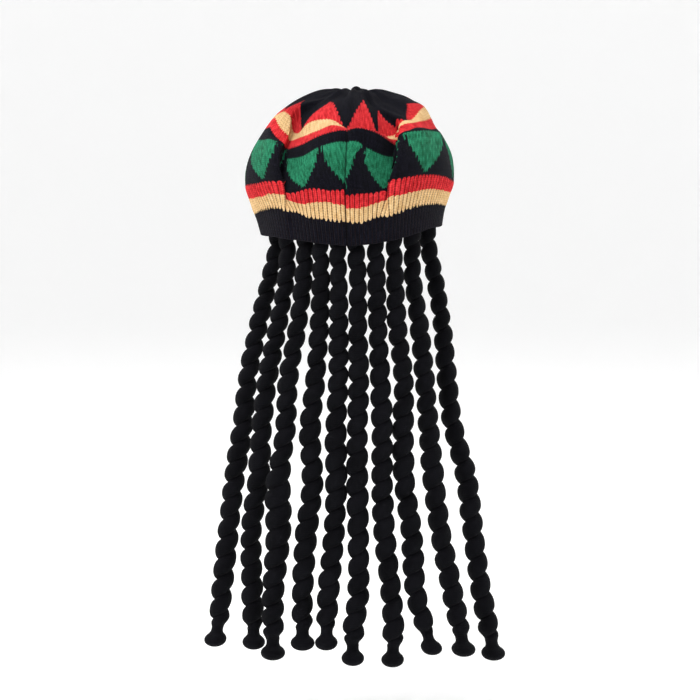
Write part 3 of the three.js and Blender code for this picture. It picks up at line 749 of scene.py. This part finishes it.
def crownMaterial():
    # the colour is read from the cloth's own UV: u counts the triangles, v is mm up the cloth
    material, board, shader = newMaterial("crownKnit", crownFinish["roughness"], crownFinish["sheen"])
    uv = board.node("ShaderNodeUVMap", uv_map="cloth").outputs[0]
    place = board.node("ShaderNodeSeparateXYZ", {"Vector": uv}).outputs
    wales = board.math("MULTIPLY", place[0], float(crownFinish["wales"]))
    fuzz = board.group(yarn, Scale=900.0, Strand=board.math("MULTIPLY", wales, 2.0),
                       Along=board.math("MULTIPLY", place[1], crownFinish["streak"]))
    courses = board.math("DIVIDE", place[1], crownFinish["course"])
    knit = board.group(stitch, Across=wales, Along=courses, Slant=1.1)
    inWale = board.math("ABSOLUTE", board.math("SUBTRACT", board.math("FRACT", wales), 0.5))
    wobble = board.math("MULTIPLY", board.math("SUBTRACT", fuzz["Height"], 0.5), 1.6)
    teeth = board.math("MULTIPLY", inWale, crownFinish["teeth"])
    height = board.math("ADD", place[1], board.math("ADD", teeth, wobble))
    waleMiddle = board.math("ADD", board.math("FLOOR", wales), 0.5)
    walePlace = board.math("DIVIDE", waleMiddle, float(crownFinish["wales"]))
    fromMiddle = board.math("ABSOLUTE", board.math("SUBTRACT", walePlace, board.math("ROUND", walePlace)))

    # painted highlight on the strands' tops, with random streaks and uneven dye
    highlightAndDye = strandHighlightAndDye(board, fuzz, knit["Height"])

    def tone(name):
        dark, light = yarnColours[name]
        return board.mix(highlightAndDye, dark, light)

    def above(stripe):
        return board.math("GREATER_THAN", height, crownStripes[stripe])

    # green: half width is a sine of the way up from the tip, cut into single wales
    up = board.ramp(height, crownStripes["tip"], crownStripes["green"])
    bowed = board.math("SINE", board.math("MULTIPLY", up, math.pi / 2))
    greenHalf = board.math("MULTIPLY", board.math("POWER", bowed, 0.9), 0.45)
    frayed = board.math("MULTIPLY", board.math("SUBTRACT", fuzz["Streak"], 0.5), 0.03)
    green = board.math("LESS_THAN", board.math("ADD", fromMiddle, frayed), greenHalf)
    # black: a triangle with its tip on the cream, as wide as the repeat at its top
    upBlack = board.ramp(height, crownStripes["cream"] - 1, crownStripes["wedges"])
    blackHalf = board.math("MULTIPLY", board.math("POWER", upBlack, 0.85), 0.5)
    black = board.math("LESS_THAN", fromMiddle, blackHalf)
    colour = board.mix(green, tone("black"), tone("green"))
    colour = board.mix(above("green"), colour, tone("black"))
    colour = board.mix(above("black"), colour, tone("red"))
    colour = board.mix(above("red"), colour, tone("cream"))
    colour = board.mix(above("cream"), colour, board.mix(black, tone("red"), tone("black")))
    colour = board.mix(above("wedges"), colour, tone("black"))
    bumps = [(knit["Height"], 0.0009, 0.8), (fuzz["Height"], 0.0005, 0.5)]
    finishKnit(board, shader, paintedSeamShade(board, colour), bumps, fuzz["Tone"], knit["Gap"], 0.55)
    return material


bandFinish = {"course": 2.4, "streak": 0.16, "roughness": 0.9, "sheen": 0.015}
# the top of each stripe in mm up the cloth, and how far it bows up in the gaps between ribs
bandStripes = {"black": (24.3, 12.0), "cream": (40.8, -3.0), "red": (57.2, -12.0)}


def bandMaterial():
    # u counts the ribs and v is mm up the cloth: each stripe ends in a round bow at each rib
    material, board, shader = newMaterial("bandKnit", bandFinish["roughness"], bandFinish["sheen"])
    uv = board.node("ShaderNodeUVMap", uv_map="cloth").outputs[0]
    place = board.node("ShaderNodeSeparateXYZ", {"Vector": uv}).outputs
    fuzz = board.group(yarn, Scale=900.0, Strand=board.math("MULTIPLY", place[0], 3.0),
                       Along=board.math("MULTIPLY", place[1], bandFinish["streak"]))
    courses = board.math("DIVIDE", place[1], bandFinish["course"])
    knit = board.group(stitch, Across=place[0], Along=courses, Slant=1.2)
    bow = board.math("ABSOLUTE", board.math("SUBTRACT", board.math("FRACT", place[0]), 0.5))
    wobble = board.math("ADD", board.math("SUBTRACT", fuzz["Height"], 0.5), fuzz["Streak"])
    height = board.math("ADD", place[1], board.math("MULTIPLY", wobble, 1.5))

    # painted highlight on the strands' tops, with random streaks and uneven dye
    highlightAndDye = strandHighlightAndDye(board, fuzz, knit["Height"])

    def tone(name):
        dark, light = yarnColours[name]
        return board.mix(highlightAndDye, dark, light)

    def above(stripe):
        top, reach = bandStripes[stripe]
        edge = board.math("ADD", board.math("MULTIPLY", board.math("MULTIPLY", bow, bow), reach), top)
        return board.math("GREATER_THAN", height, edge)

    colour = board.mix(above("black"), tone("black"), tone("cream"))
    colour = board.mix(above("cream"), colour, tone("red"))
    colour = board.mix(above("red"), colour, tone("black"))
    # painted shade in the gaps between the ribs, broken into dashes along the courses
    gap = board.ramp(bow, 0.31, 0.48)
    dashes = board.math("SINE", board.math("MULTIPLY", courses, 2 * math.pi))
    ribGapShade = board.math("MULTIPLY", gap, board.ramp(dashes, -1.6, 0.3))
    colour = board.mix(board.math("MULTIPLY", ribGapShade, 0.9), colour, (0.012, 0.006, 0.006, 1))
    bumps = [(knit["Height"], 0.0009, 0.7), (fuzz["Height"], 0.0005, 0.5)]
    finishKnit(board, shader, paintedSeamShade(board, colour), bumps, fuzz["Tone"], knit["Gap"], 0.3)
    return material


def lockMaterial():
    material, board, shader = newMaterial("lockYarn", 0.85, 0.012)
    uv = board.node("ShaderNodeUVMap", uv_map="cloth").outputs[0]
    place = board.node("ShaderNodeSeparateXYZ", {"Vector": uv}).outputs
    fuzz = board.group(yarn, Scale=1100.0, Strand=place[0], Along=place[1])
    knit = board.group(stitch, Across=place[0], Along=place[1], Slant=1.0)
    dark, light = yarnColours["lock"]
    bumps = [(knit["Height"], 0.0006, 0.6), (fuzz["Height"], 0.0006, 0.6)]
    finishKnit(board, shader, board.mix(fuzz["Tone"], dark, light), bumps, fuzz["Tone"], knit["Gap"], 0.4)
    return material


ribbedBand.data.materials.append(bandMaterial())
knitCrown.data.materials.append(crownMaterial())
ropeMaterial = lockMaterial()
for lock in locks:
    lock.data.materials.append(ropeMaterial)
print("materials made")

# what each piece stands for
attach(ribbedBand, "root")
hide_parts("ribbed_band")
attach(knitCrown, "root")
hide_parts("crown_top", "crown_side")
for number, lock in enumerate(locks):
    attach(lock, "root")
    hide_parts(f"dreadlock_{number + 1:02d}")

# stage
stage = {"floor": -500, "flat": 4200, "bend": 1600, "height": 6500, "steps": 20, "sides": 96}


def makeStage(s):
    # a round room in one sheet: a flat disc, a quarter circle up from it, and a wall
    turn = np.linspace(0, np.pi / 2, s["steps"])
    radius = np.concatenate([s["flat"] + s["bend"] * np.sin(turn), [s["flat"] + s["bend"]]])
    z = s["floor"] + np.concatenate([s["bend"] * (1 - np.cos(turn)), [s["height"]]])
    angle = np.arange(s["sides"]) / s["sides"] * 2 * np.pi
    ring = np.stack([np.sin(angle), -np.cos(angle), 0 * angle], axis=1)
    points = ring[None] * radius[:, None, None] + np.array([0, 0, 1]) * z[:, None, None]
    corner = np.arange(len(z) * s["sides"]).reshape(len(z), s["sides"])
    after = np.roll(corner, -1, axis=1)
    faces = np.stack([corner[:-1], corner[1:], after[1:], after[:-1]], axis=-1).reshape(-1, 4).tolist()
    mesh = bpy.data.meshes.new("paleRoom")
    mesh.from_pydata((points.reshape(-1, 3) * mm).tolist(), [], faces + [corner[0].tolist()])
    mesh.polygons.foreach_set("use_smooth", np.ones(len(mesh.polygons), bool))
    room = bpy.data.objects.new("paleRoom", mesh)
    bpy.context.scene.collection.objects.link(room)
    material = bpy.data.materials.new("paleRoom")
    material.use_nodes = True
    shader = material.node_tree.nodes["Principled BSDF"]
    shader.inputs["Base Color"].default_value = (0.85, 0.85, 0.85, 1)
    shader.inputs["Roughness"].default_value = 0.9
    shader.inputs["Emission Color"].default_value = (1, 1, 1, 1)
    shader.inputs["Emission Strength"].default_value = 0.24
    mesh.materials.append(material)


makeStage(stage)

# place, size and strength of each soft lamp; each looks at the hat
lamps = {
    "key": ((-900, -1300, 1900), 500, 32),
    "top": ((-250, 100, 1900), 700, 5),
    "behindLeft": ((-1500, 900, 900), 1000, 7),
    "behindRight": ((1500, 900, 900), 1000, 7),
    "room": ((0, 0, 3800), 3500, 110),
}


def makeLamps():
    for name, (place, size, power) in lamps.items():
        light = bpy.data.lights.new(name, "AREA")
        light.size = size * mm
        light.energy = power
        lamp = bpy.data.objects.new(name, light)
        lamp.location = Vector(place) * mm
        aim = Vector((0, 0, -0.1)) - lamp.location
        lamp.rotation_euler = aim.to_track_quat("-Z", "Y").to_euler()
        bpy.context.scene.collection.objects.link(lamp)
    world = bpy.data.worlds.new("softRoom")
    world.use_nodes = True
    world.node_tree.nodes["Background"].inputs["Color"].default_value = (1, 1, 1, 1)
    world.node_tree.nodes["Background"].inputs["Strength"].default_value = 0.1
    bpy.context.scene.world = world
    bpy.context.scene.view_settings.view_transform = "Standard"


makeLamps()
print("stage and lamps set")
